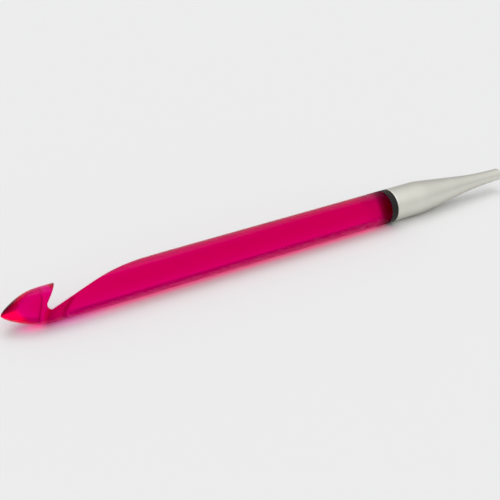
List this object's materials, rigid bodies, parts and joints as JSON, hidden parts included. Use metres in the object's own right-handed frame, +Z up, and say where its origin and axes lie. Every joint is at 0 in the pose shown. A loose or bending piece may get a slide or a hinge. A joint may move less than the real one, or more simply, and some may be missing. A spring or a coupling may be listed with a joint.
{
  "type": "crochet hook",
  "caption": "Interchangeable Tunisian crochet hook: clear magenta acrylic hook and shaft, black collar ring and tapered metal ferrule with a threaded cable socket.",
  "frame": {"origin": "on the flat surface that the hook lies on, under the middle of its overall length", "axes": "+X along the shaft from the hook's tip towards the cable socket, +Z up from the surface it lies on; the throat opens 37.5 degrees back from +Z towards +Y"},
  "size_m": [0.15, 0.009, 0.009],
  "materials": {
    "acrylic": "polished, transparent magenta",
    "black_plastic": "turned, semi-gloss black",
    "adhesive": "cured epoxy, dull grey-brown",
    "satin_nickel": "satin nickel plate"
  },
  "bodies": {
    "root": {"hook_shaft": "acrylic", "collar_ring": "black_plastic", "adhesive_bond": "adhesive", "ferrule": "satin_nickel"}
  },
  "joints": []
}
